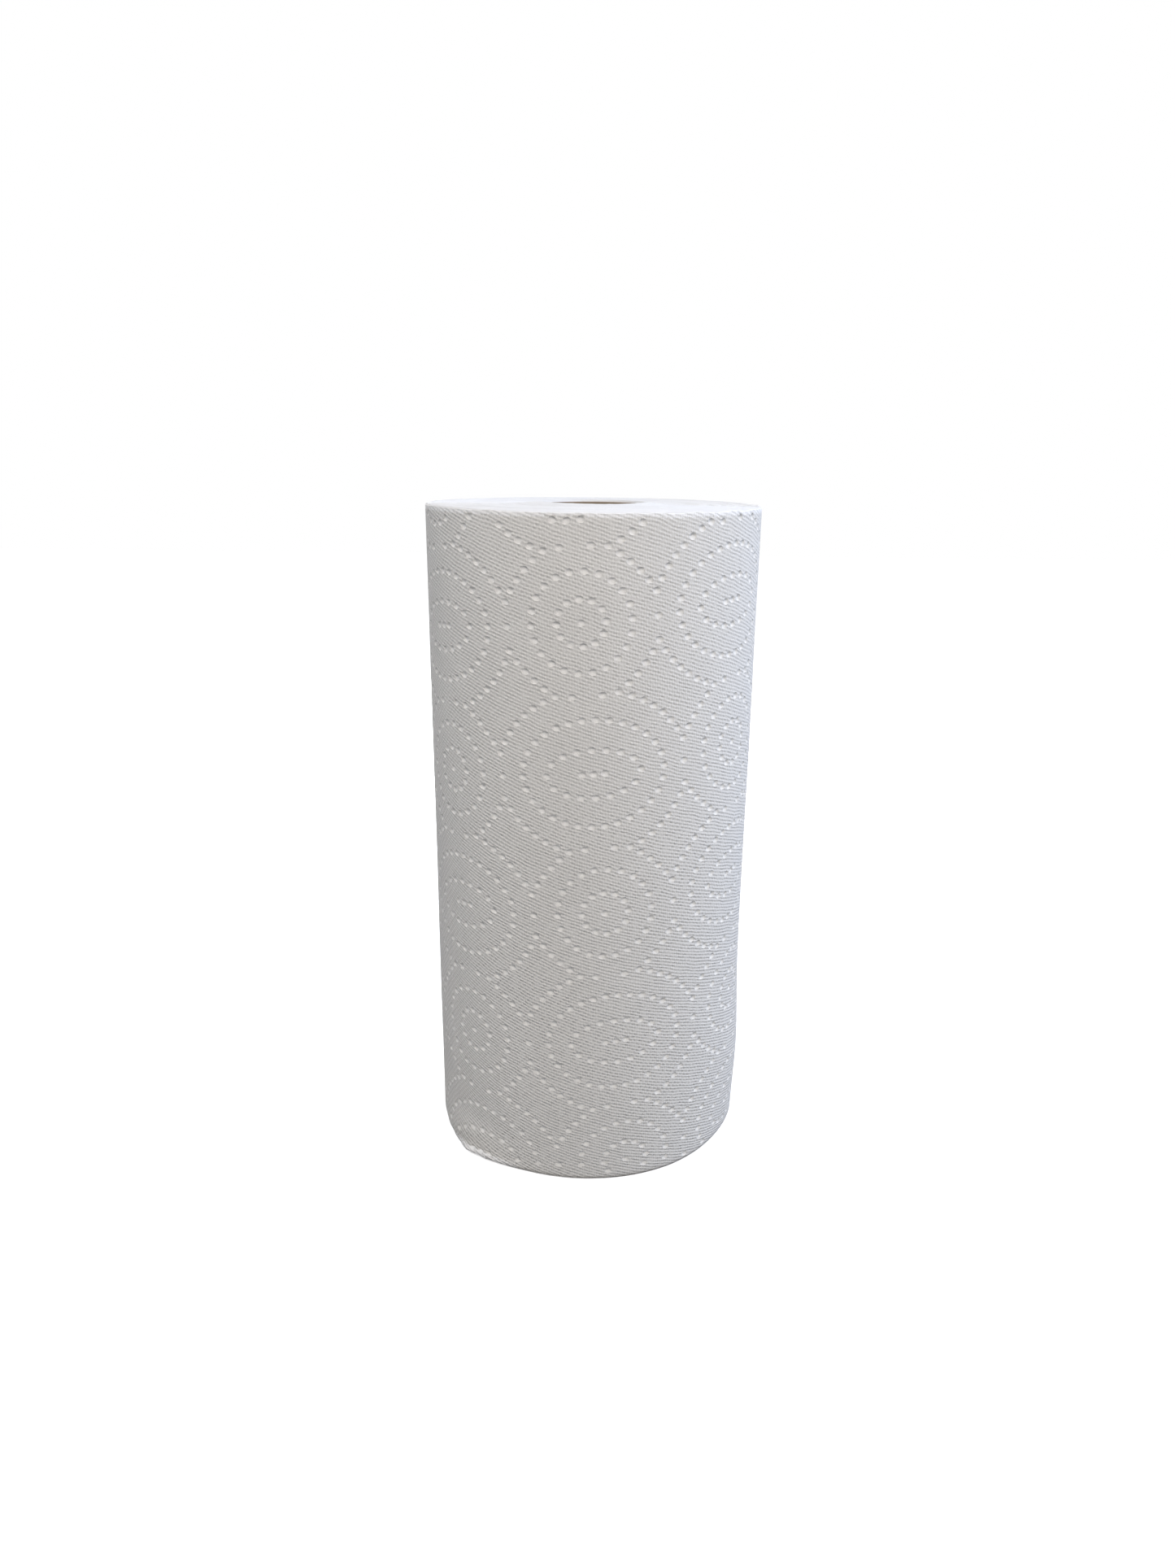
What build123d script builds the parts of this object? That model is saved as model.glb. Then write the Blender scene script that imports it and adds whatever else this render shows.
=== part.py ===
from build123d import *
from build123d.topology import SkipClean
import math
import os

# Paper towel roll standing on its end. The origin is on the axis of the core, on the base, and +Z points up.
# Lengths are in millimetres and angles in degrees. The front of the roll faces -Y.

# The wound paper
roll_height = 279.4       # width of the web, 11 inches
roll_radius = 69.4        # at the tail, where the winding is widest
sheet_thickness = 0.56    # radius that one turn of embossed paper takes up
tail_angle = 158          # place of the web's end, counterclockwise from +X
rim_radius = 2.0          # roundness of the two outer rims
rim_steps = 2             # flats that make up the roundness of a rim

# The cardboard core
core_bore_radius = 20.2
core_wall = 0.8

# Gaps between the turns, seen on both end faces as one spiral groove
gap_half_width = 0.5
gap_depth = 0.7
gap_sheets = 28           # sheets from one turn of the groove to the next
gap_margin = 6.0          # plain paper left inside the outer rim, and outside the core

# Emboss: dots pressed into the outer sheet, on a slanted grid of small and large motifs
motif_pitch_round = 66.4  # from motif to motif along a row
motif_pitch_up = 57.8     # from row to row
motif_tilt = 5.2          # a row climbs by this angle, seen from the front
first_motif_round = -4.2  # place of one small motif, measured round the roll from the front
first_motif_height = 239.7
dot_radius = 1.7
dot_depth = 1.0
dot_edge_margin = 1.0     # plain paper left between a dot and a rim, or the tail
small_rings = [(9.3, 8.8, 6), (19.2, 18.8, 9)]     # radius along the row, radius up, dots
large_rings = [(18.5, 9.5, 8), (28.2, 21.2, 12)]
large_bar_pitch = 4.4     # the three dots in the middle of a large motif
diamond_side_x = 21.1     # from a diamond's centre to its side corners
diamond_side_y = 2.1
diamond_top_x = 4.1       # from a diamond's centre to its upper and lower corners
diamond_top_y = 19.8
diamond_bow_small = 1.3   # inward bow of the sides that face a small motif
diamond_bow_large = 3.4   # inward bow of the sides that face a large motif
diamond_gaps_small = 2    # spaces between dots along those sides
diamond_gaps_large = 3

# The outer turn is laid in narrow upright strips, so that no face carries more than a few dots
quarters = 4
strips = 18               # in each quarter
spiral_points = 7         # that each quarter of the outer turn is drawn through

core_radius = core_bore_radius + core_wall
mean_radius = roll_radius - sheet_thickness / 2
quarter_angle = 360 / quarters


def winding_radius(turned):
    """Radius of the outer turn at this many degrees past the tail."""
    return roll_radius - sheet_thickness * turned / 360


def spiral_edge(quarter, inset, height):
    """One quarter of the outer turn, set in from the surface by inset."""
    fall = -sheet_thickness / (2 * math.pi)
    points = []
    headings = []
    for k in range(spiral_points):
        turned = quarter_angle * (quarter + k / (spiral_points - 1))
        radius = winding_radius(turned) - inset
        place = math.radians(tail_angle + turned)
        outward = Vector(math.cos(place), math.sin(place), 0)
        onward = Vector(-math.sin(place), math.cos(place), 0)
        points.append(outward * radius + Vector(0, 0, height))
        headings.append(outward * fall + onward * radius)
    return Edge.make_spline(points, tangents=[headings[0], headings[-1]])


def slice_face(rim):
    """Face of a slice of the winding, from the axis to the stretch of the outer turn given as rim."""
    axis = Vector(0, 0, (rim @ 0).Z)
    return Face(Wire([Edge.make_line(axis, rim @ 0), rim, Edge.make_line(rim @ 1, axis)]))


def outer_strips(quarter):
    """Upright slices of one quarter, between the rounded rims."""
    rim = spiral_edge(quarter, 0, rim_radius)
    faces = [slice_face(rim.trim(k / strips, (k + 1) / strips)) for k in range(strips)]
    return [extrude(face, amount=roll_height - 2 * rim_radius) for face in faces]


def rim_slices(quarter, at_top):
    """The rounded rim of one quarter, as tapered slices."""
    levels = []
    for k in range(rim_steps + 1):
        bend = math.radians(90 * k / rim_steps)
        inset = rim_radius * (1 - math.sin(bend))
        rise = rim_radius * (1 - math.cos(bend))
        level = roll_height - rise if at_top else rise
        levels.append(slice_face(spiral_edge(quarter, inset, level)).outer_wire())
    return [Solid.make_loft([a, b], ruled=True) for a, b in zip(levels, levels[1:])]


def ring_dots(radius_x, radius_y, count):
    """Dots evenly spaced along an ellipse."""
    ring = Edge.make_ellipse(radius_x, radius_y)
    return [tuple(ring @ (k / count))[:2] for k in range(count)]


def motif_dots(large):
    """Dots of one motif about its centre, x along the row and y up."""
    dots = [(0, 0)]
    if large:
        dots += [(-large_bar_pitch, 0), (large_bar_pitch, 0)]
    for ring in large_rings if large else small_rings:
        dots += ring_dots(*ring)
    return dots


def diamond_dots(small_below_left):
    """Dots of the diamond between four motifs, about its centre."""
    lean = 1 if small_below_left else -1
    side = Vector(diamond_side_x, lean * diamond_side_y)
    top = Vector(lean * diamond_top_x, diamond_top_y)
    corners = [side, top, -side, -top]
    dots = []
    for k, corner in enumerate(corners):
        following = corners[(k + 1) % len(corners)]
        faces_large = (k % 2 == 1) == small_below_left
        bow = diamond_bow_large if faces_large else diamond_bow_small
        gaps = diamond_gaps_large if faces_large else diamond_gaps_small
        middle = (corner + following) * 0.5
        bowed = middle - middle.normalized() * bow
        edge = Edge.make_three_point_arc(corner, bowed, following)
        dots += [tuple(edge @ (n / gaps))[:2] for n in range(gaps)]
    return dots


def emboss_dots():
    """Every dot of the outer sheet, as degrees past the tail and height."""
    girth = 2 * math.pi * mean_radius
    tail_round = math.radians(tail_angle - 270) * mean_radius
    tilt = math.radians(motif_tilt)
    reach = dot_radius + dot_edge_margin
    columns = math.ceil(girth / motif_pitch_round) + 1
    rows = math.ceil(roll_height / motif_pitch_up) + 1
    found = []
    for column in range(-columns, columns + 1):
        for row in range(-rows, rows + 1):
            small = (column + row) % 2 == 0
            left = column * motif_pitch_round
            low = row * motif_pitch_up
            middle_x = left + motif_pitch_round / 2
            middle_y = low + motif_pitch_up / 2
            local = [(left + x, low + y) for x, y in motif_dots(not small)]
            local += [(middle_x + x, middle_y + y) for x, y in diamond_dots(small)]
            for x, y in local:
                around = first_motif_round + x * math.cos(tilt) - y * math.sin(tilt) - tail_round
                height = first_motif_height + x * math.sin(tilt) + y * math.cos(tilt)
                clear_of_rims = rim_radius + reach < height < roll_height - rim_radius - reach
                if clear_of_rims and reach < around < girth - reach:
                    found.append((math.degrees(around / mean_radius), height))
    return found


def emboss_pits():
    """Three-sided pits for all the dots, each square to the surface and with its flat side uppermost."""
    rise = dot_depth / 2
    widening = (dot_depth + rise) / dot_depth
    mouth = RegularPolygon(dot_radius * widening, 3).face().moved(Location((0, 0, rise)))
    pit = Solid.make_loft([mouth.outer_wire(), Vertex(0, 0, -dot_depth)])
    pits = []
    for turned, height in emboss_dots():
        upright = Location((0, 0, height), (0, 0, tail_angle + turned))
        outward = Location((winding_radius(turned), 0, 0), (0, 90, 0))
        pits.append(upright * outward * pit)
    return pits


def end_gaps():
    """V-shaped spiral groove on both end faces, made of half turns about two centres."""
    half_lead = gap_sheets * sheet_thickness / 2
    start = roll_radius - sheet_thickness - rim_radius - gap_margin
    halves = int((start - core_radius - gap_margin) / half_lead)
    pieces = []
    for k in range(halves):
        side = 1 if k % 2 == 0 else -1
        centre = side * half_lead / 2
        reach = centre + side * (start - (k + 0.5) * half_lead)
        for face_height, inward in ((0, 1), (roll_height, -1)):
            tip = (reach, 0, face_height + inward * gap_depth)
            back = face_height - inward * gap_depth
            corners = [tip, (reach + 2 * gap_half_width, 0, back), (reach - 2 * gap_half_width, 0, back)]
            section = Face(Wire.make_polygon(corners))
            pieces.append(Solid.revolve(section, 180, Axis((centre, 0, 0), (0, 0, 1))))
    return pieces


def paper_roll():
    """The whole winding as one solid, with its tail, rims, end gaps and emboss."""
    slices = []
    with SkipClean():
        for quarter in range(quarters):
            slices += outer_strips(quarter)
            slices += rim_slices(quarter, at_top=False)
            slices += rim_slices(quarter, at_top=True)
        roll = slices[0] + slices[1:]
        roll = roll - Cylinder(core_radius, 3 * roll_height)
        roll = roll - end_gaps()
        roll = roll - emboss_pits()
    return roll


def core_tube():
    """Wound chipboard tube, cut flush with the paper."""
    stand = (Align.CENTER, Align.CENTER, Align.MIN)
    return Cylinder(core_radius, roll_height, align=stand) - Cylinder(core_bore_radius, roll_height, align=stand)


os.makedirs("parts", exist_ok=True)
export_step(paper_roll(), "parts/towel_roll.step")
export_step(core_tube(), "parts/core_tube.step")
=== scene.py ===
import math

import bmesh
import bpy
from mathutils import Matrix, Vector, geometry, kdtree, noise


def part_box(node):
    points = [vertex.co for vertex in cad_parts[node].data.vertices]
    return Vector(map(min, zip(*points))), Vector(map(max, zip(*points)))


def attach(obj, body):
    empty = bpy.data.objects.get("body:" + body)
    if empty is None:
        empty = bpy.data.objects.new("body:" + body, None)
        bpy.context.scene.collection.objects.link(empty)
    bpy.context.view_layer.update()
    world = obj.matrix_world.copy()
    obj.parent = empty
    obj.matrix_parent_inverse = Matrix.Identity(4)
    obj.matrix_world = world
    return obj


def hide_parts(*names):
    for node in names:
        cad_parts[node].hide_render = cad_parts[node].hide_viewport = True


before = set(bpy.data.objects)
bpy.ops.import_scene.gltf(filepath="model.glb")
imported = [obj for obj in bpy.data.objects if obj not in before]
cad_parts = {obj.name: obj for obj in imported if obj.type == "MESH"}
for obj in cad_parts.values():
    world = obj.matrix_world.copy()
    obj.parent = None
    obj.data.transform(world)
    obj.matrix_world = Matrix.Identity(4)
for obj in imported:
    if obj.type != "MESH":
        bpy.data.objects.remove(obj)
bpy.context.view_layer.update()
print("frame loaded:", sorted(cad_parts))

mm = 0.001
tiny = 1e-6  # metres, for places that count as the same
rollLow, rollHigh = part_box("towel_roll")
coreLow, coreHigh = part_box("core_tube")

# the winding: one spiral from the free end of the web, on the back left, inwards
winding = dict(
    sheet=0.56 * mm,  # radius that one turn takes up
    tailFront=-112,  # free end, in degrees from the front, counterclockwise seen from above
    height=rollHigh.z - rollLow.z,
    coreRadius=(coreHigh.x - coreLow.x) / 2,
)
winding["tailRadius"] = (rollHigh.x - rollLow.x) / 2 - winding["sheet"] * winding["tailFront"] / 360
winding["webRadius"] = winding["tailRadius"] - winding["sheet"] / 2
tailTurned = math.radians(winding["tailFront"])
tailAlong = tailTurned * winding["webRadius"]
fullTurn = 2 * math.pi
girth = fullTurn * winding["webRadius"]


def windingRadius(front):
    # radius of the outer turn at an angle from the front, in radians
    return winding["tailRadius"] - winding["sheet"] * (math.degrees(front) - winding["tailFront"]) / 360


def windWeb(along, across, lift):
    # lays a point of the flat web on the roll: along it from the front, up it, and off its surface
    front = along / winding["webRadius"]
    reach = windingRadius(front) + lift
    return Vector((reach * math.sin(front), -reach * math.cos(front), across))


def ease(value, start, end):
    # 0 before start, 1 after end, and a smooth step between them
    share = min(max((value - start) / (end - start), 0), 1)
    return share * share * (3 - 2 * share)


def ripple(along, waves, side, seed, mean=0):
    # unevenness along an edge, from waves given as their size and their number a metre
    return sum((size * noise.noise(Vector((along * pace, side, seed))) for size, pace in waves), mean)


def pick(items, kind):
    return [item for item in items if isinstance(item, kind)]


def cutAcross(bm, place, normal, faces=None, clear=False):
    # cuts the mesh, or some of its faces, along a plane, and may clear what lies beyond it
    if faces is None:
        geom = bm.verts[:] + bm.edges[:] + bm.faces[:]
    else:
        geom = list({item for face in faces for item in (*face.verts, *face.edges, face)})
    bmesh.ops.bisect_plane(bm, geom=geom, dist=tiny, plane_co=place, plane_no=normal, clear_outer=clear)


def faceAxis(bm, away):
    # points the faces of an upright shell away from the roll's axis, or towards it
    bmesh.ops.recalc_face_normals(bm, faces=bm.faces)
    level = Vector((1, 1, 0))
    facing = sum(face.normal.dot(face.calc_center_median() * level) for face in bm.faces)
    if (facing > 0) != away:
        bmesh.ops.reverse_faces(bm, faces=bm.faces)


def addObject(name, data):
    made = bpy.data.objects.new(name, data)
    bpy.context.scene.collection.objects.link(made)
    return made


def addMesh(bm, name, material):
    mesh = bpy.data.meshes.new(name)
    bm.to_mesh(mesh)
    bm.free()
    mesh.materials.append(material)
    return addObject(name, mesh)


def finishPiece(bm, name, nodes, material):
    for face in bm.faces:
        face.smooth = True
    piece = addMesh(bm, name, material)
    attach(piece, "root")
    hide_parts(*nodes)
    print(name, "has", sum(len(face.vertices) - 2 for face in piece.data.polygons), "triangles")


# camera
cameraSetup = dict(
    place=(0, -0.4774, 0.2992),
    pitch=17.77,  # degrees below level
    roll=0.62,  # degrees about its own axis
    lens=25.49,
    shiftX=-0.0020,
    shiftY=0.0157,
    nearest=0.01,  # metres
)


def makeCamera():
    camera = addObject("camera", bpy.data.cameras.new("camera"))
    aim = Matrix.Rotation(math.radians(90 - cameraSetup["pitch"]), 4, "X")
    twist = Matrix.Rotation(math.radians(cameraSetup["roll"]), 4, "Z")
    camera.matrix_world = Matrix.Translation(cameraSetup["place"]) @ aim @ twist
    camera.data.lens = cameraSetup["lens"]
    camera.data.shift_x = cameraSetup["shiftX"]
    camera.data.shift_y = cameraSetup["shiftY"]
    camera.data.clip_start = cameraSetup["nearest"]
    bpy.context.scene.camera = camera


# nodes and node groups that the materials share
noiseSpan = (0.3, 0.7)  # where nearly all values of a noise texture lie


def newGroup(name, inputs, outputs):
    group = bpy.data.node_groups.new(name, "ShaderNodeTree")
    for label, kind in inputs:
        group.interface.new_socket(name=label, in_out="INPUT", socket_type=kind)
    for label, kind in outputs:
        group.interface.new_socket(name=label, in_out="OUTPUT", socket_type=kind)
    return group, group.nodes.new("NodeGroupInput"), group.nodes.new("NodeGroupOutput")


def newMaterial(name):
    material = bpy.data.materials.new(name)
    material.use_nodes = True
    return material, material.node_tree, material.node_tree.nodes["Principled BSDF"]


def feed(tree, socket, value):
    # a socket takes a link from another node, or a plain value
    if isinstance(value, bpy.types.NodeSocket):
        tree.links.new(value, socket)
    else:
        socket.default_value = value


def addOperation(tree, kind, operation, values):
    node = tree.nodes.new(kind)
    node.operation = operation
    for socket, value in zip(node.inputs, values):
        feed(tree, socket, value)
    return node.outputs


def addMath(tree, operation, *values):
    return addOperation(tree, "ShaderNodeMath", operation, values)[0]


def addVector(tree, operation, *values):
    return addOperation(tree, "ShaderNodeVectorMath", operation, values)


def addMix(tree, factor, first, second):
    node = tree.nodes.new("ShaderNodeMix")
    node.data_type = "RGBA"
    tree.links.new(factor, node.inputs[0])
    for socket, value in zip((node.inputs[6], node.inputs[7]), (first, second)):
        feed(tree, socket, value if isinstance(value, bpy.types.NodeSocket) else (*value, 1))
    return node.outputs[2]


def addRange(tree, value, low, high, newLow, newHigh):
    node = tree.nodes.new("ShaderNodeMapRange")
    node.interpolation_type = "SMOOTHSTEP"
    tree.links.new(value, node.inputs[0])
    for socket, number in zip(node.inputs[1:5], (low, high, newLow, newHigh)):
        socket.default_value = number
    return node.outputs[0]


def addWave(tree, place, direction, strength):
    # cosine ridges across a direction, given in turns a millimetre
    dot = addVector(tree, "DOT_PRODUCT", place, [fullTurn * part for part in direction])["Value"]
    return addMath(tree, "MULTIPLY", addMath(tree, "COSINE", dot), strength)


def addNoise(tree, place, scale, detail, roughness=0.5, distortion=0):
    node = tree.nodes.new("ShaderNodeTexNoise")
    values = dict(Vector=place, Scale=scale, Detail=detail, Roughness=roughness, Distortion=distortion)
    for label, value in values.items():
        feed(tree, node.inputs[label], value)
    return node


def addAttribute(tree, name):
    node = tree.nodes.new("ShaderNodeAttribute")
    node.attribute_name = name
    return node.outputs["Fac"]


def addGroup(tree, group, values):
    node = tree.nodes.new("ShaderNodeGroup")
    node.node_tree = group
    for label, value in values.items():
        feed(tree, node.inputs[label], value)
    return node


def addBump(tree, height):
    # height is in metres
    node = tree.nodes.new("ShaderNodeBump")
    node.inputs["Distance"].default_value = 1
    node.inputs["Strength"].default_value = 1
    tree.links.new(height, node.inputs["Height"])
    return node.outputs[0]


# fine slanted weave that the press leaves in the paper, as ridges in four directions
ribs = dict(
    main=((0.217, 0.691, 0), 1.0),  # turns a millimetre along and up the web, and strength
    cross=((-0.375, 0.350, 0), 0.5),
    sum=((0.598, 0.352, 0), 0.25),
    upright=((0.973, 0.002, 0), 0.4),
    wander=0.6,  # millimetres that the ribs stray
    wanderNoise=(0.12, 1),  # scale and detail
    patchNoise=(0.4, 3),
    patchy=(0.4, 1.5),  # strength where the ribs are faint, and where they are crisp
)
fibres = dict(detail=4, roughness=0.65, distortion=0.6, cloudDetail=3)


def ribGroup():
    # the ribs, from a place on the flat web in millimetres
    group, given, made = newGroup(
        "ribs",
        [("Web Place", "NodeSocketVector")],
        [("Height", "NodeSocketFloat")],
    )
    stray = addNoise(group, given.outputs[0], *ribs["wanderNoise"])
    size = [2 * ribs["wander"]] * 3
    shift = addVector(group, "MULTIPLY_ADD", stray.outputs["Color"], size, given.outputs[0])[0]
    total = addWave(group, shift, *ribs["main"])
    for name in ("cross", "sum", "upright"):
        total = addMath(group, "ADD", total, addWave(group, shift, *ribs[name]))
    patches = addNoise(group, given.outputs[0], *ribs["patchNoise"])
    strength = addRange(group, patches.outputs[0], *noiseSpan, *ribs["patchy"])
    group.links.new(addMath(group, "MULTIPLY", total, strength), made.inputs[0])
    return group


def fibreGroup():
    # soft tangled fibres and cloudy mottling
    group, given, made = newGroup(
        "fibres",
        [("Place", "NodeSocketVector"), ("Fineness", "NodeSocketFloat"), ("Cloud Size", "NodeSocketFloat")],
        [("Height", "NodeSocketFloat"), ("Cloud", "NodeSocketFloat")],
    )
    place = given.outputs["Place"]
    shape = (fibres["detail"], fibres["roughness"], fibres["distortion"])
    fine = addNoise(group, place, given.outputs["Fineness"], *shape)
    cloud = addNoise(group, place, given.outputs["Cloud Size"], fibres["cloudDetail"])
    group.links.new(fine.outputs[0], made.inputs["Height"])
    group.links.new(cloud.outputs[0], made.inputs["Cloud"])
    return group


ribNodes = ribGroup()
fibreNodes = fibreGroup()


def addFibres(tree, place, fineness, cloudSize):
    return addGroup(tree, fibreNodes, {"Place": place, "Fineness": fineness, "Cloud Size": cloudSize})


def finishShader(tree, shader, fibre, lift, look):
    # roughness, relief and shine, alike for every material of the roll
    rough = addRange(tree, fibre.outputs["Height"], *noiseSpan, *look["roughness"])
    tree.links.new(rough, shader.inputs["Roughness"])
    tree.links.new(addBump(tree, lift), shader.inputs["Normal"])
    shader.inputs["Specular IOR Level"].default_value = look["specular"]


webUv = dict(name="web", size=0.5)  # the flat web in a UV square of half a metre

paper = dict(
    light=(0.85, 0.84, 0.825),
    dark=(0.82, 0.81, 0.795),
    # painted shade: the dark colour that the fibres, the hollows between the ribs and the crushed corner
    # are mixed towards
    valleyShade=(0.66, 0.65, 0.63),
    pressed=(0.868, 0.863, 0.852),  # floors of the dots: a painted highlight for their lit lower halves, laid over the ribs' painted shade
    # the ends of the turns, painted bluer than the web: painted cool light falling on them from above, with
    # edgeDark for their mottling
    edge=(0.835, 0.84, 0.855),
    edgeDark=(0.82, 0.825, 0.84),
    gap=(0.50, 0.485, 0.46),  # painted shade down between the turns
    # frayed edges: loose fibres, and partly a painted highlight where the torn lip and the top edge face
    # the light
    torn=(0.92, 0.92, 0.93),
    # painted shade seen down through the slits of the tear line
    slit=(0.30, 0.29, 0.27),
    under=(0.32, 0.31, 0.295),  # painted shade where the lower edge curls under
    fineness=1.3,  # of the fibres, for places in millimetres
    cloudSize=0.06,
    edgeFineness=1500,  # and on the turns' edges, for places in metres
    edgeCloudSize=55,
    edgeCloudSpan=(0.35, 0.65),
    grain=0.35,  # how much the fibres darken the web: their grain, partly painted shade of their relief
    grainSpan=(0.64, 0.36),
    ribShade=0.5,  # how much painted shade darkens the hollows between the ribs
    hollowSpan=(-1.6, 0.2),
    crushed=0.8,  # and painted shade on the crushed corner
    tornSpan=(0.96, 1.04),
    gapFrom=0.1,  # share of a gap's depth where its painted shade starts
    roughness=(0.82, 0.95),
    sheen=0.12,
    sheenRoughness=0.6,
    specular=0.2,
    ribHeight=0.062 * mm,
    fibreHeight=0.14 * mm,
    edgeFibreHeight=0.28 * mm,
    foldHeight=0.06 * mm,
    deeper=(1.5, 0.85),  # ribs at the base and at the top, where the web was wound more loosely
    ribsInDots=0.15,  # ribs left inside the dots
    dotBrim=0.5,  # depth in a dot, as a share, by which they have faded so far
)

# folds that run round the crushed corner
folds = dict(
    main=((0.07, 0.27, 0), 1.0),
    second=((-0.03, 0.41, 0), 0.6),
    stray=4,  # millimetres that the folds stray
    strayFineness=0.07,
)

# tear line between two sheets: slits with short bonds between them
perforation = dict(
    sheet=279.4 * mm,  # from the free end to the tear line
    pitch=4.6 * mm,
    bond=0.24,  # share of the pitch that stays whole
    soft=(0.15, 0.1),  # softness of a slit's ends, towards the slit and the bond
    half=0.16 * mm,  # half the width of a slit
    depth=0.32 * mm,
    crease=0.14 * mm,  # how deep the line lies
    creaseHalf=1.1 * mm,
)


def slitMask(tree, onWeb):
    # 1 in the slits of the tear line, from a place on the flat web in millimetres
    place = tree.nodes.new("ShaderNodeSeparateXYZ")
    tree.links.new(onWeb, place.inputs[0])
    away = addMath(tree, "SUBTRACT", place.outputs["X"], (tailAlong + perforation["sheet"]) / mm)
    half = perforation["half"]
    near = addRange(tree, addMath(tree, "ABSOLUTE", away), 0.5 * half / mm, 1.5 * half / mm, 1, 0)
    turned = addMath(tree, "MULTIPLY", place.outputs["Y"], fullTurn * mm / perforation["pitch"])
    bond = math.cos(math.pi * perforation["bond"])
    inner, outer = perforation["soft"]
    unbonded = addRange(tree, addMath(tree, "COSINE", turned), bond - inner, bond + outer, 1, 0)
    return addMath(tree, "MULTIPLY", near, unbonded)


def webTint(tree, rib, fibre, slit):
    # mottling, fibres, painted shade in the ribs' hollows and a painted highlight on the dots' floors
    # first, and then painted shade on the crushed corner and the curled lower edge, lighter torn places,
    # partly a painted highlight, and painted shade in the cut slits
    cloudy = addRange(tree, fibre.outputs["Cloud"], *noiseSpan, 0, 1)
    tint = addMix(tree, cloudy, paper["dark"], paper["light"])
    # fibre grain, partly painted shade of the fibres' relief
    grain = addRange(tree, fibre.outputs["Height"], *paper["grainSpan"], 0, paper["grain"])
    tint = addMix(tree, grain, tint, paper["valleyShade"])
    # painted shade in the hollows between the ribs
    ribShade = addRange(tree, rib, *paper["hollowSpan"], paper["ribShade"], 0)
    tint = addMix(tree, ribShade, tint, paper["valleyShade"])
    # painted highlight on the floors of the dots
    tint = addMix(tree, addAttribute(tree, "dotDepth"), tint, paper["pressed"])
    # painted shade on the crushed corner
    crushed = addRange(tree, addAttribute(tree, "crush"), 0, 1, 0, paper["crushed"])
    tint = addMix(tree, crushed, tint, paper["valleyShade"])
    # lighter frayed places: fibres, and partly a painted highlight
    frayed = addMath(tree, "ADD", addAttribute(tree, "torn"), fibre.outputs["Height"])
    tint = addMix(tree, addRange(tree, frayed, *paper["tornSpan"], 0, 1), tint, paper["torn"])
    # painted shade where the lower edge curls under
    tint = addMix(tree, addAttribute(tree, "under"), tint, paper["under"])
    # painted shade in the slits
    return addMix(tree, slit, tint, paper["slit"])


def foldRelief(tree, onWeb):
    stray = addGroup(tree, fibreNodes, {"Place": onWeb, "Fineness": folds["strayFineness"]})
    size = addMath(tree, "MULTIPLY", stray.outputs["Height"], folds["stray"])
    strayed = addVector(tree, "ADD", onWeb, size)[0]
    waves = [addWave(tree, strayed, *folds[name]) for name in ("main", "second")]
    fold = addMath(tree, "MULTIPLY", addMath(tree, "ADD", *waves), addAttribute(tree, "crush"))
    return addMath(tree, "MULTIPLY", fold, paper["foldHeight"])


def webRelief(tree, onWeb, rib, fibre, slit):
    # height in metres of the ribs, which fade in the dots, and of the fibres, slits and folds
    place = tree.nodes.new("ShaderNodeSeparateXYZ")
    tree.links.new(onWeb, place.inputs[0])
    faded = addRange(tree, addAttribute(tree, "dotDepth"), 0, paper["dotBrim"], 1, paper["ribsInDots"])
    deeper = addRange(tree, place.outputs["Y"], 0, winding["height"] / mm, *paper["deeper"])
    lift = addMath(tree, "MULTIPLY", rib, addMath(tree, "MULTIPLY", faded, deeper))
    lift = addMath(tree, "MULTIPLY", lift, paper["ribHeight"])
    fuzz = addMath(tree, "MULTIPLY", fibre.outputs["Height"], paper["fibreHeight"])
    lift = addMath(tree, "ADD", lift, fuzz)
    lift = addMath(tree, "SUBTRACT", lift, addMath(tree, "MULTIPLY", slit, perforation["depth"]))
    return addMath(tree, "ADD", lift, foldRelief(tree, onWeb))


def finishTissue(tree, shader, fibre, lift):
    # the web and the edges of its turns also have a soft sheen
    finishShader(tree, shader, fibre, lift, paper)
    shader.inputs["Sheen Weight"].default_value = paper["sheen"]
    shader.inputs["Sheen Roughness"].default_value = paper["sheenRoughness"]


def webPaper():
    material, tree, shader = newMaterial("embossed_paper")
    place = tree.nodes.new("ShaderNodeUVMap")
    place.uv_map = webUv["name"]
    inMillimetres = tree.nodes.new("ShaderNodeMapping")
    inMillimetres.inputs["Scale"].default_value = [webUv["size"] / mm] * 3
    tree.links.new(place.outputs[0], inMillimetres.inputs[0])
    onWeb = inMillimetres.outputs[0]
    rib = addGroup(tree, ribNodes, {"Web Place": onWeb}).outputs[0]
    fibre = addFibres(tree, onWeb, paper["fineness"], paper["cloudSize"])
    slit = slitMask(tree, onWeb)
    tree.links.new(webTint(tree, rib, fibre, slit), shader.inputs["Base Color"])
    finishTissue(tree, shader, fibre, webRelief(tree, onWeb, rib, fibre, slit))
    return material


def edgePaper():
    material, tree, shader = newMaterial("paper_edges")
    place = tree.nodes.new("ShaderNodeTexCoord").outputs["Object"]
    fibre = addFibres(tree, place, paper["edgeFineness"], paper["edgeCloudSize"])
    cloudy = addRange(tree, fibre.outputs["Cloud"], *paper["edgeCloudSpan"], 0, 1)
    # painted cool light on the ends of the turns, mottled
    tint = addMix(tree, cloudy, paper["edgeDark"], paper["edge"])
    # painted shade down in the gaps between the turns
    gap = addRange(tree, addAttribute(tree, "gapDepth"), paper["gapFrom"], 1, 0, 1)
    tree.links.new(addMix(tree, gap, tint, paper["gap"]), shader.inputs["Base Color"])
    lift = addMath(tree, "MULTIPLY", fibre.outputs["Height"], paper["edgeFibreHeight"])
    finishTissue(tree, shader, fibre, lift)
    return material


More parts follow.
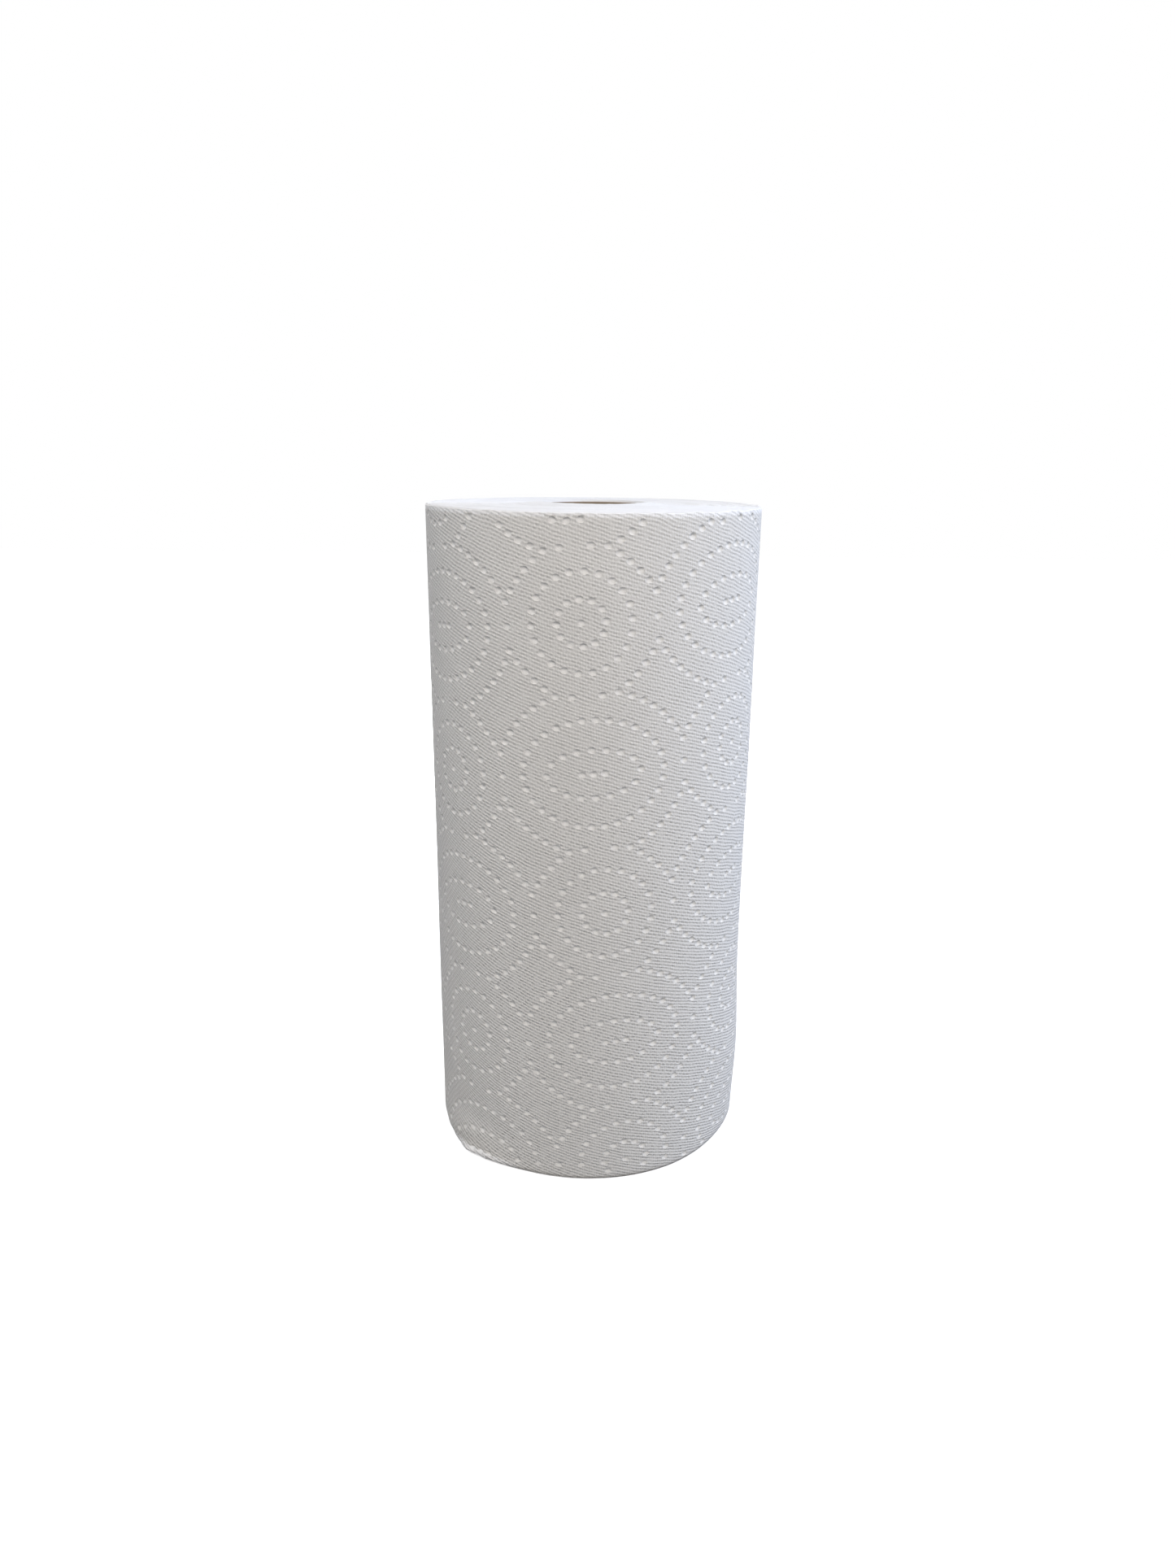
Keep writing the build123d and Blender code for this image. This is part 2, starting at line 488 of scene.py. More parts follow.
board = dict(
    light=(0.40, 0.335, 0.26),
    dark=(0.30, 0.245, 0.185),
    fleck=(0.20, 0.16, 0.12),
    seam=(0.15, 0.12, 0.09),
    fineness=900,
    cloudSize=60,
    flecks=0.7,  # how much the flecks darken the board
    fleckSpan=(0.42, 0.34),
    seamShade=0.8,
    roughness=(0.75, 0.9),
    fibreHeight=0.08 * mm,
    specular=0.3,
)


def chipboard():
    material, tree, shader = newMaterial("chipboard")
    place = tree.nodes.new("ShaderNodeTexCoord").outputs["Object"]
    fibre = addFibres(tree, place, board["fineness"], board["cloudSize"])
    cloudy = addRange(tree, fibre.outputs["Cloud"], *noiseSpan, 0, 1)
    tint = addMix(tree, cloudy, board["dark"], board["light"])
    fleck = addRange(tree, fibre.outputs["Height"], *board["fleckSpan"], 0, board["flecks"])
    tint = addMix(tree, fleck, tint, board["fleck"])
    seam = addRange(tree, addAttribute(tree, "seamDepth"), 0, 1, 0, board["seamShade"])
    tree.links.new(addMix(tree, seam, tint, board["seam"]), shader.inputs["Base Color"])
    lift = addMath(tree, "MULTIPLY", fibre.outputs["Height"], board["fibreHeight"])
    finishShader(tree, shader, fibre, lift, board)
    return material


# emboss: rings of dots on a slanted grid, small ones and large ones in turn, with diamonds between them
emboss = dict(
    alongPitch=66.4 * mm,
    upPitch=57.8 * mm,
    tilt=5.2,
    firstAlong=-4.2 * mm,
    firstUp=239.7 * mm,
    columns=range(-4, 8),  # of the grid, enough for the whole web
    rows=range(-6, 3),
    smallRings=[(9.3, 8.8, 12), (19.2, 18.8, 22)],  # radius along the web, radius up, dots
    largeRings=[(18.5, 9.5, 16), (28.2, 21.2, 30)],
    barPitch=4.4,
    diamondSide=(21.1, 2.1),
    diamondTop=(4.1, 19.8),
    bow=(1.3, 3.4),  # how far sides are drawn in, facing a small and a large motif
    sideDots=(5, 7),
    linkSide=5.8,  # pair of dots between motifs, one above the other
    linkUp=27.5,
    linkAlong=29.2,  # dot between motifs side by side, from the small one
    clear=(2.5 * mm, 1.6 * mm),  # plain paper left at the free end and at the rims
)
cup = dict(
    radius=1.35 * mm,
    wide=1.26,  # a cup is this much longer along the web than up it
    depth=(0.78 * mm, 0.58 * mm),  # at the base and at the top
    uneven=0.4,  # spread of the depths, as a share
    unevenPace=700,
    floorShare=0.55,  # size of the inner ring
    floorDepth=0.85,  # and how deep it lies, as a share of the depth
    floorUp=0.16,  # how far the floor lies above the middle, as a share of the radius
    cut=0.4 * mm,  # bevel that a cup's patch starts from
    clear=1.6 * mm,  # corners of the grid stay this far from a cup's middle
    clearEdge=1.42 * mm,  # and the edges between them this far
    choices=4,  # corners of the grid that a dot may take
    patchReach=1.1,  # reach of a patch, in bevels
    clearRounds=(3, 12),  # rounds of clearing corners, and then edges
    clearMore=1.02,  # edges go this much further than they have to
    relax=(2, 0.4),  # rounds and strength of the grid's smoothing
)


def ringDots(radiusAlong, radiusUp, count):
    # dots at even spaces round an ellipse, found by walking it in small steps
    steps = 720
    turns = [fullTurn * k / steps for k in range(steps + 1)]
    points = [(radiusAlong * math.cos(turned), radiusUp * math.sin(turned)) for turned in turns]
    walked = [0.0]
    for first, second in zip(points, points[1:]):
        walked.append(walked[-1] + math.dist(first, second))
    dots = []
    k = 0
    for n in range(count):
        while walked[k] < walked[-1] * n / count:
            k += 1
        dots.append(points[k])
    return dots


def diamondDots(lean):
    side = Vector((emboss["diamondSide"][0], lean * emboss["diamondSide"][1]))
    top = Vector((lean * emboss["diamondTop"][0], emboss["diamondTop"][1]))
    corners = [side, top, -side, -top]
    dots = []
    for k, corner in enumerate(corners):
        following = corners[(k + 1) % len(corners)]
        facesLarge = (k % 2 == 1) == (lean > 0)
        count = emboss["sideDots"][facesLarge]
        inward = -((corner + following) / 2).normalized() * emboss["bow"][facesLarge]
        for n in range(count):
            share = n / count
            dots.append(tuple(corner.lerp(following, share) + inward * 4 * share * (1 - share)))
    return dots


def siteDots(small):
    # all dots that belong to one place of the grid: its motif, a diamond and the links
    dots = [(0, 0)]
    if not small:
        dots += [(-emboss["barPitch"], 0), (emboss["barPitch"], 0)]
    for ring in emboss["smallRings" if small else "largeRings"]:
        dots += ringDots(*ring)
    middle = (emboss["alongPitch"] / mm / 2, emboss["upPitch"] / mm / 2)
    dots += [(x + middle[0], y + middle[1]) for x, y in diamondDots(1 if small else -1)]
    upward = emboss["linkUp"] if small else emboss["upPitch"] / mm - emboss["linkUp"]
    dots += [(-emboss["linkSide"], upward), (emboss["linkSide"], upward)]
    dots.append((emboss["linkAlong"] if small else emboss["alongPitch"] / mm - emboss["linkAlong"], 0))
    return [(x * mm, y * mm) for x, y in dots]


def embossDots(low, high, start, end):
    tilt = math.radians(emboss["tilt"])
    patterns = {small: siteDots(small) for small in (True, False)}
    found = []
    for column in emboss["columns"]:
        for row in emboss["rows"]:
            for x, y in patterns[(column + row) % 2 == 0]:
                x += column * emboss["alongPitch"]
                y += row * emboss["upPitch"]
                along = emboss["firstAlong"] + x * math.cos(tilt) - y * math.sin(tilt)
                up = emboss["firstUp"] + x * math.sin(tilt) + y * math.cos(tilt)
                if start < along < end and low < up < high:
                    found.append(Vector((along, up, 0)))
    return found


# outer wrap: the flat web with its cups, rounded rims and free end, laid round the roll
wrap = dict(
    cell=2.7 * mm,
    underlap=14 * mm,  # how far the web runs on beneath its own free end
    curl=(1.0 * mm, 0.35 * mm),  # roundness of the outer turn's own edge, below and above
    curlSteps=3,  # rows that make up a quarter turn
    thickness=0.35 * mm,
    tuck=9 * mm,  # underside that is modelled at the free end
    tuckSink=0.15 * mm,
    waves=[(0.22 * mm, 16, 3), (0.07 * mm, 70, 7)],  # unevenness: size, number a metre, seed
    tailLift=0.7 * mm,
    tailFade=9 * mm,  # how fast that dies away along the web
    tailReach=60 * mm,
    tailWave=(0.55, 0.9, 14, 0.1),  # its mean share, spread, waves a metre and least share
    tailRagged=0.35 * mm,  # the free end was torn off along a tear line
    tailWaves=[(1, 300)],  # size and number a metre
    topRagged=0.45 * mm,  # unevenness of the cut edge at the top
    topWaves=[(1, 110), (0.6, 500)],
)

# rims: the edges of the outer turns are rounded off, and at the base they are crushed in places
rims = dict(
    top=1.4 * mm,
    base=1.2 * mm,
    baseFront=(8, 34, -0.8 * mm),  # degrees from the front, spread, and change of the rounding there
    baseRight=(63, 20, 1.5 * mm),
    lowered=0.2 * mm,  # how far the outer turn's edge hangs below the next
    least=0.06 * mm,  # but this far over the floor
    reach=10 * mm,  # how far up the wall that shows
    flare=(-47, 16, 3.4 * mm),  # crushed outwards on the left: place, spread and reach
    flareHeight=19 * mm,
    flareDepth=9 * mm,  # how far in the turns are splayed
    flareRagged=0.9 * mm,
    flarePace=(9, 180),  # its waves a radian and a metre up
    fuzz=0.95,  # how far the cut edge at the top has frayed and is painted lighter, from 0 to 1: loose fibres, partly a painted highlight where it faces up
    fuzzReach=1.2 * mm,
    underSpan=(0.7, 1.9),  # where the lower edge curls under and is darkened with painted shade, as shares of the curl
    torn=(-42, 19, 1.0),  # there the outer turn's edge is torn up and curls out
    tornRise=0.9 * mm,
    tornOut=0.9 * mm,
    tornReach=4.4 * mm,
    tornSpread=2.5,  # spreads to each side where the web has more corners
    tornCuts=3,
    tornRows=(0.25, 0.5, 0.8),  # rows there, as shares of the reach
    fray=0.5,  # mean of the torn edge's unevenness
    frayWaves=[(0.7, 420), (0.5, 1400)],
    frayOut=0.6,  # added to it where the edge curls out
    frayRise=(0.7, 0.5),  # steady share, and share of it, where the edge is torn up
    bulge=(80, 26, 1.5 * mm),  # soft swelling low on the right
    bulgeLevel=(36 * mm, 28 * mm),
)


def hump(front, place, spread, size):
    # smooth hump about a place round the roll, in degrees from the front
    away = (front - place + 180) % 360 - 180
    return size * math.exp(-((away / spread) ** 2))


def rimRounding(front, top):
    if top:
        return rims["top"]
    front = math.degrees(front)
    return rims["base"] + hump(front, *rims["baseFront"]) + hump(front, *rims["baseRight"])


def rimDrop(inset, rounding):
    # how far the rounded rim has fallen behind the end face, this far in from the outside
    return rounding - math.sqrt(max(rounding ** 2 - max(rounding - inset, 0) ** 2, 0))


def flareAt(front, level, inset):
    # how far the crushed part of the lower rim stands out, at a height and this far in
    front = tailTurned + (front - tailTurned) % fullTurn  # alike on every turn
    size = hump(math.degrees(front), *rims["flare"])
    ragged = rims["flareRagged"] * size / rims["flare"][2]
    around, upward = rims["flarePace"]
    size += ragged * noise.noise(Vector((front * around, level * upward, 5)))
    return size * (1 - ease(level, 0, rims["flareHeight"])) * (1 - ease(inset, 0, rims["flareDepth"]))


def tornAt(front, level):
    # how torn the outer turn's lower edge is, from 0 to 1
    return hump(math.degrees(front), *rims["torn"]) * (1 - ease(level, 0, rims["tornReach"]))


def webLift(along, across):
    # unevenness of the outer turn, its raised free end, its tear line and its swelling
    lift = 0
    for size, pace, seed in wrap["waves"]:
        lift += size * noise.noise(Vector((along * pace, across * pace, seed)))
    fromTail = along - tailAlong
    if fromTail < wrap["tailReach"]:
        mean, spread, pace, least = wrap["tailWave"]
        wave = mean + spread * noise.noise(Vector((2, across * pace, 0)))
        lift += wrap["tailLift"] * max(wave, least) * math.exp(-fromTail / wrap["tailFade"])
    fromTear = abs(fromTail - perforation["sheet"])
    lift -= perforation["crease"] * max(1 - fromTear / perforation["creaseHalf"], 0)
    level, spread = rims["bulgeLevel"]
    front = math.degrees(along / winding["webRadius"])
    return lift + hump(front, *rims["bulge"]) * math.exp(-(((across - level) / spread) ** 2))


def spaceRing(centre, ring):
    # even places round a centre for a ring of vertices, in the order that they lie in
    angles = sorted(
        (math.atan2(vert.co.y - centre.y, vert.co.x - centre.x), k) for k, vert in enumerate(ring)
    )
    step = fullTurn / len(ring)
    first = sum(angle - n * step for n, (angle, k) in enumerate(angles)) / len(ring)
    places = {}
    for n, (angle, k) in enumerate(angles):
        turned = first + n * step
        places[ring[k]] = Vector((math.cos(turned), math.sin(turned), 0))
    return places


def shapeCup(faces, centre, depthLayer):
    # spreads the patch of a bevelled corner to a round cup: an outer ring, an inner one and the middle
    members = {vert for face in faces for vert in face.verts}
    for edge in {edge for face in faces for edge in face.edges}:
        edge.smooth = all(face in faces for face in edge.link_faces)  # the pin leaves a crisp brim
    outer = [vert for vert in members if any(face not in faces for face in vert.link_faces)]
    outward = spaceRing(centre, outer)
    base, top = cup["depth"]
    full = base + (top - base) * centre.y / winding["height"]
    uneven = 1 + cup["uneven"] * noise.noise(centre * cup["unevenPace"])
    for vert in members:
        beside = [edge.other_vert(vert) for edge in vert.link_edges]
        across = [outward[far] for far in beside if far in outward]
        if vert in outward:
            share, depth, heading = 1, 0, outward[vert]
        elif across:
            share, depth, heading = cup["floorShare"], cup["floorDepth"], sum(across, Vector()).normalized()
        else:
            share, depth, heading = 0, 1, Vector()
        shift = Vector((0, cup["floorUp"] * depth, 0))
        sink = full * (depth * uneven)
        vert.co = centre + (heading * share + shift) * cup["radius"] - Vector((0, 0, sink))
        vert[depthLayer] = depth
    return members


def growTree(places):
    tree = kdtree.KDTree(len(places))
    for k, place in enumerate(places):
        tree.insert(place, k)
    tree.balance()
    return tree


def snapCorners(bm, dots):
    # moves the nearest free corner of the grid to each dot, and evens out the rest
    inside = [vert for vert in bm.verts if not vert.is_boundary]
    tree = growTree([vert.co for vert in inside])
    snapped = {}
    for dot in dots:
        near = [k for place, k, distance in tree.find_n(dot, cup["choices"]) if k not in snapped]
        if near:
            snapped[near[0]] = dot
    for k, dot in snapped.items():
        inside[k].co = dot
    free = [vert for k, vert in enumerate(inside) if k not in snapped]
    rounds, strength = cup["relax"]
    for repeat in range(rounds):
        bmesh.ops.smooth_vert(
            bm, verts=free, factor=strength, use_axis_x=True, use_axis_y=True, use_axis_z=True,
        )
    return [inside[k] for k in snapped], list(snapped.values())


def clearCorners(bm, pressed, tree):
    # corners of the grid that lie in a cup are pushed out of it
    for repeat in range(cup["clearRounds"][0]):
        for vert in bm.verts:
            if vert in pressed or vert.is_boundary:
                continue
            for place, k, distance in tree.find_range(vert.co, cup["clear"]):
                vert.co = place + (vert.co - place).normalized() * cup["clear"]


def clearEdges(bm, pressed, tree):
    # and so are edges that cut across one, a little further than they have to be
    for repeat in range(cup["clearRounds"][1]):
        crossing = 0
        for edge in bm.edges:
            if any(vert in pressed or vert.is_boundary for vert in edge.verts):
                continue
            first, second = (vert.co for vert in edge.verts)
            place, k, distance = tree.find((first + second) / 2)
            nearest, share = geometry.intersect_point_line(place, first, second)
            gap = (nearest - place).length
            if 0 < share < 1 and 0 < gap < cup["clearEdge"]:
                crossing += 1
                for vert in edge.verts:
                    vert.co += (nearest - place) * (cup["clearMore"] * cup["clearEdge"] / gap - 1)
    print("edges left across cups:", crossing)


def pressCups(bm, dots, depthLayer):
    # bevels the corner of the grid at each dot to a patch, and presses that
    centres, places = snapCorners(bm, dots)
    bmesh.ops.bevel(
        bm, geom=centres, offset=cup["cut"], segments=4, profile=0.5, affect="VERTICES", material=-1,
    )
    tree = growTree(places)
    patches = {}
    for face in bm.faces:
        place, k, distance = tree.find(face.calc_center_median())
        if all((vert.co - place).length < cup["patchReach"] * cup["cut"] for vert in face.verts):
            patches.setdefault(k, set()).add(face)
    pressed = set()
    for k, faces in patches.items():
        pressed |= shapeCup(faces, places[k], depthLayer)
    clearCorners(bm, pressed, tree)
    clearEdges(bm, pressed, tree)
    many = [face for face in bm.faces if len(face.verts) > 4]
    bmesh.ops.triangulate(bm, faces=many, quad_method="BEAUTY", ngon_method="BEAUTY")
    sizes = sorted({len(faces) for faces in patches.values()})
    print("cups pressed:", len(patches), "of", len(dots), "with faces", sizes)


def extrudeBorder(bm, keep, step):
    # runs the border edges that keep() picks on by one row
    edges = [edge for edge in bm.edges if edge.is_boundary and all(keep(vert.co) for vert in edge.verts)]
    grown = bmesh.ops.extrude_edge_only(bm, edges=edges)["geom"]
    bmesh.ops.translate(bm, verts=pick(grown, bmesh.types.BMVert), vec=step)


def pressWeb(bm, low, high, start, end):
    # the web laid flat; it is squashed while its cups are pressed round, which makes them ovals
    depthLayer = bm.verts.layers.float.new("dotDepth")
    columns = round((end - start) / wrap["cell"])
    rows = round((high - low) / wrap["cell"])
    bmesh.ops.create_grid(bm, x_segments=columns, y_segments=rows, size=0.5)
    bmesh.ops.scale(bm, verts=bm.verts, vec=(end - start, high - low, 1))
    bmesh.ops.translate(bm, verts=bm.verts, vec=((start + end) / 2, (low + high) / 2, 0))
    fromTail, fromRim = emboss["clear"]
    dots = embossDots(low + fromRim, high - fromRim, start + fromTail, end - fromTail)
    squash = Matrix.Diagonal((1 / cup["wide"], 1, 1))
    bmesh.ops.scale(bm, verts=bm.verts, vec=(1 / cup["wide"], 1, 1))
    pressCups(bm, [squash @ dot for dot in dots], depthLayer)
    bmesh.ops.scale(bm, verts=bm.verts, vec=(cup["wide"], 1, 1))


def refineWeb(bm, low, start):
    # rows and columns for the tear line, the curled lower edge and the torn part of it
    for side in (-1, 0, 1):
        place = start + perforation["sheet"] + side * perforation["creaseHalf"]
        cutAcross(bm, (place, 0, 0), (1, 0, 0))
    cutAcross(bm, (0, 1.5 * low, 0), (0, 1, 0))
    middle, spread = rims["torn"][:2]
    reach = rims["tornSpread"] * spread
    left, right = (math.radians(middle + side * reach) * winding["webRadius"] for side in (-1, 1))
    lower = {vert for vert in bm.verts if vert.co.y < low + tiny and left < vert.co.x < right}
    fine = [edge for edge in bm.edges if edge.is_boundary and all(vert in lower for vert in edge.verts)]
    bmesh.ops.subdivide_edges(bm, edges=fine, cuts=rims["tornCuts"])
    for share in rims["tornRows"]:
        faces = [face for face in bm.faces if left < face.calc_center_median().x < right]
        cutAcross(bm, (0, low + share * rims["tornReach"], 0), (0, 1, 0), faces)


def curlEdges(bm, low, high):
    # the outer turn's own edges curl inwards
    steps = wrap["curlSteps"]
    for sign, border, curl in ((-1, low, wrap["curl"][0]), (1, high, wrap["curl"][1])):
        place = border
        for k in range(steps):
            before, turn = (math.radians(90 * step / steps) for step in (k, k + 1))
            out = sign * curl * (math.sin(turn) - math.sin(before))
            sink = -curl * (math.cos(before) - math.cos(turn))
            extrudeBorder(bm, lambda co, y=place: abs(co.y - y) < 0.1 * tiny, (0, out, sink))
            place += out


def addTail(bm, start):
    # free end: the web's edge, and a little of its underside
    for step in ((0, 0, -wrap["thickness"]), (wrap["tuck"], 0, -wrap["tuckSink"])):
        extrudeBorder(bm, lambda co: co.x < start + tiny, step)
    for vert in bm.verts:
        if vert.co.x < start + tiny:
            vert.co.x += wrap["tailRagged"] * ripple(vert.co.y, wrap["tailWaves"], 0, 4)


def layWeb(bm, low, high):
    # winds the flat web on the roll, with the wear of its edges, and marks where shade and highlights are
    # painted on them
    tornLayer = bm.verts.layers.float.new("torn")
    underLayer = bm.verts.layers.float.new("under")
    crushLayer = bm.verts.layers.float.new("crush")
    underFrom, underTo = (share * low for share in rims["underSpan"])
    steady, frayed = rims["frayRise"]
    for vert in bm.verts:
        along, across, lift = vert.co
        front = along / winding["webRadius"]
        torn = tornAt(front, across - low)
        fray = ripple(along, rims["frayWaves"], 0, 6, rims["fray"])
        lift += torn ** 2 * rims["tornOut"] * (rims["frayOut"] + fray)
        # torn and frayed places are painted lighter, partly as a painted highlight
        vert[tornLayer] = max(torn, rims["fuzz"] * ease(across, high - rims["fuzzReach"], high))
        # painted shade where the lower edge curls under
        vert[underLayer] = (1 - ease(across, underFrom, underTo)) * (1 - torn)
        # how crushed the corner is: it gives it folds and painted shade
        vert[crushLayer] = min(flareAt(front, across, 0) / rims["flare"][2], 1)
        drop = rimDrop(winding["sheet"] / 2, rimRounding(front, False))
        rise = max(drop - rims["lowered"], rims["least"])
        rise += torn * rims["tornRise"] * (steady + frayed * fray)
        across += rise * (1 - ease(across, 0, rims["reach"]))
        nearTop = ease(across, high - rims["reach"], high)
        across += nearTop * wrap["topRagged"] * ripple(along, wrap["topWaves"], 1, 2)
        vert.co = windWeb(along, across, lift + flareAt(front, across, 0))


def makeWrap(material):
    low = wrap["curl"][0]
    high = winding["height"] - rimDrop(winding["sheet"] / 2, rims["top"]) - wrap["curl"][1]
    start = tailAlong
    bm = bmesh.new()
    pressWeb(bm, low, high, start, start + girth + wrap["underlap"])
    refineWeb(bm, low, start)
    curlEdges(bm, low, high)
    for vert in bm.verts:
        vert.co.z += webLift(vert.co.x, vert.co.y)
    addTail(bm, start)
    uv = bm.loops.layers.uv.new(webUv["name"])
    for face in bm.faces:
        for loop in face.loops:
            loop[uv].uv = loop.vert.co.xy / webUv["size"]
    layWeb(bm, low, high)
    faceAxis(bm, True)
    finishPiece(bm, "outer_wrap", ["towel_roll"], material)


# ends of the roll: one narrow ribbon for the web's edge, wound turn by turn down to the core
ends = dict(
    steps=150,  # round each turn
    inset=0.06 * mm,  # under the outer turn
    gap=0.55 * mm,
    # share of a turn, and share of the gap's depth there
    profile=[(0, 1), (0.2, 0.22), (0.5, 0), (0.8, 0.22), (1, 1)],
    # looser and tighter turns: strength, and pace round and across
    rings=[(1, 0.9, 300), (0.7, 1.7, 1300)],
    loose=(0.5, 0.7, 0.15),  # mean share of the gap's depth, spread and least
    wander=(0.13 * mm, 220),  # how far a turn sways, and its waves a metre
    jitter=(0.16 * mm, 0.9),  # from turn to turn, and its waves a radian
    fuzz=(0.10 * mm, 400),
    uneven=(0.25 * mm, 35),  # over the whole face
    swayFrom=(0.3 * mm, 2 * mm),  # the sway sets in between these, from the outside and from the core
    crown=0.8 * mm,  # the inner turns stand this much higher on the top
    crownWidth=16 * mm,
    tuck=1.2 * mm,  # drop of what runs into the core's wall
    squeeze=0.45,  # and its width there, as a share, so that none comes out inside the core
    skirt=(1.5 * mm, 4 * mm, 8 * mm),  # rows of the next turn's outside, which shows under the torn edge
    skirtInset=0.8 * mm,
    merge=0.002 * mm,
    seeds=(11, 29),  # for the top and the base
)


def addSkirt(bm):
    # runs the outer border of the base up the wall, just inside the outer turn
    inmost = winding["tailRadius"] - 2 * winding["sheet"]
    low = {vert for vert in bm.verts if vert.is_boundary and vert.co.xy.length > inmost}
    edges = [edge for edge in bm.edges if edge.is_boundary and all(vert in low for vert in edge.verts)]
    edges = [edge for edge in edges if edge.calc_length() > winding["sheet"]]  # not the web's own end
    for level in ends["skirt"]:
        grown = bmesh.ops.extrude_edge_only(bm, edges=edges)["geom"]
        edges = pick(grown, bmesh.types.BMEdge)
        for vert in pick(grown, bmesh.types.BMVert):
            front = math.atan2(vert.co.x, -vert.co.y)
            if math.degrees(front) < winding["tailFront"]:
                front += fullTurn
            radius = windingRadius(front) - ends["skirtInset"] + flareAt(front, level, 0)
            vert.co = Vector((radius * math.sin(front), -radius * math.cos(front), level))


def looseness(outward, radius, seed):
    # rings of looser and tighter turns, which change slowly round the roll
    rings = 0
    for strength, around, across in ends["rings"]:
        rings += strength * noise.noise(outward * around + Vector((0, 0, radius * across + seed)))
    mean, spread, least = ends["loose"]
    return min(max(mean + spread * rings, least), 1)


def endPlace(turned, share, gapShare, top, seed):
    # a point of the ribbon, and how deep in a gap it lies, from 0 to 1
    front = tailTurned + turned
    radius = windingRadius(front) - winding["sheet"] * share - ends["inset"]
    inset = windingRadius(tailTurned + turned % fullTurn) - radius
    outward = Vector((math.sin(front), -math.cos(front), 0))
    spot = outward * radius
    fromCore = radius - winding["coreRadius"]
    outside, inside = ends["swayFrom"]
    swaySize, pace = ends["wander"]
    sway = noise.noise(Vector((spot.x * pace, spot.y * pace, seed))) * ease(inset, outside, inside)
    sway *= ease(fromCore, 0, inside)
    loose = looseness(outward, radius, seed)
    depth = rimDrop(inset, rimRounding(front, top)) + ends["gap"] * gapShare * loose
    if gapShare < 1:
        size, pace = ends["jitter"]
        depth += size * (0.5 + noise.noise(Vector((turned * pace, seed, 2))))
        size, pace = ends["fuzz"]
        depth += size * (0.5 + noise.noise(Vector((spot.x * pace, spot.y * pace, seed + 3))))
    size, pace = ends["uneven"]
    depth += size * (0.5 + 0.5 * noise.noise(Vector((spot.x * pace, spot.y * pace, seed + 5))))
    if top:
        depth -= ends["crown"] * (1 - ease(fromCore, 0, ends["crownWidth"]))
    else:
        radius += flareAt(front, 0, inset)
    if fromCore < 0:
        depth += ends["tuck"]
        radius = winding["coreRadius"] + ends["squeeze"] * fromCore
    level = winding["height"] - depth if top else depth
    return outward * (radius + swaySize * sway) + Vector((0, 0, level)), gapShare * loose


def makeEnd(name, top, material):
    turns = math.ceil((winding["tailRadius"] - winding["coreRadius"]) / winding["sheet"])
    across = len(ends["profile"]) - 1
    seed = ends["seeds"][0 if top else 1]
    bm = bmesh.new()
    gapLayer = bm.verts.layers.float.new("gapDepth")
    bmesh.ops.create_grid(bm, x_segments=turns * ends["steps"], y_segments=across, size=0.5)
    for vert in bm.verts:
        turned = (vert.co.x + 0.5) * turns * fullTurn
        share, gapShare = ends["profile"][round((vert.co.y + 0.5) * across)]
        vert.co, vert[gapLayer] = endPlace(turned, share, gapShare, top, seed)
    bmesh.ops.remove_doubles(bm, verts=bm.verts, dist=ends["merge"])
    if not top:
        addSkirt(bm)
    bmesh.ops.recalc_face_normals(bm, faces=bm.faces)
    upward = sum(face.normal.z * face.calc_area() for face in bm.faces)
    if (upward > 0) != top:
        bmesh.ops.reverse_faces(bm, faces=bm.faces)
    finishPiece(bm, name, ["towel_roll"], material)


# core: chipboard strip wound on a slant, so its seam climbs as a helix
core = dict(
    wall=0.8 * mm,
    climb=95 * mm,  # rise of the seam in one turn
    around=96,
    cell=3.0 * mm,
    seam=0.22 * mm,
    seamHalf=0.5 * mm,
    seamFloor=0.1 * mm,  # half the width of the seam's deepest part
    uneven=(0.06 * mm, 40),  # size, and waves a metre up
    recess=0.35 * mm,  # below the roll's top
    stand=0.12 * mm,  # and above the floor
    fit=0.02 * mm,  # between its outside and the paper
    merge=0.01 * mm,
)


def slantStrips(bm, strips):
    # flat strip, one climb wide and one turn long, repeated; rows stay along the seam
    seamLayer = bm.verts.layers.float.new("seamDepth")
    rows = round(core["climb"] / core["cell"])
    bmesh.ops.create_grid(bm, x_segments=core["around"], y_segments=rows * strips, size=0.5)
    bmesh.ops.scale(bm, verts=bm.verts, vec=(fullTurn, core["climb"] * strips, 1))
    bmesh.ops.translate(bm, verts=bm.verts, vec=(0, core["climb"] * (strips / 2 - 1), 0))
    for strip in range(strips):
        for offset in (-core["seamHalf"], core["seamHalf"]):
            cutAcross(bm, (0, core["climb"] * (strip - 1) + offset, 0), (0, 1, 0))
    for vert in bm.verts:
        climbed = vert.co.y / core["climb"]
        fromSeam = abs(climbed - round(climbed)) * core["climb"]
        vert[seamLayer] = 1.0 if fromSeam < core["seamFloor"] else 0.0
        vert.co.y += core["climb"] * (vert.co.x / fullTurn + 0.5)
    return seamLayer


def thickenTube(bm):
    # cut ends and an outside for the inner wall
    inside = [edge for edge in bm.edges if edge.is_boundary]
    grown = bmesh.ops.extrude_edge_only(bm, edges=inside)["geom"]
    for vert in pick(grown, bmesh.types.BMVert):
        stretch = (winding["coreRadius"] - core["fit"]) / vert.co.xy.length
        vert.co = Vector((vert.co.x * stretch, vert.co.y * stretch, vert.co.z))
    outside = [edge for edge in bm.edges if edge.is_boundary]
    bmesh.ops.bridge_loops(bm, edges=outside)
    for edge in inside + outside:
        edge.smooth = False  # the tube is cut square
    bmesh.ops.recalc_face_normals(bm, faces=bm.faces)


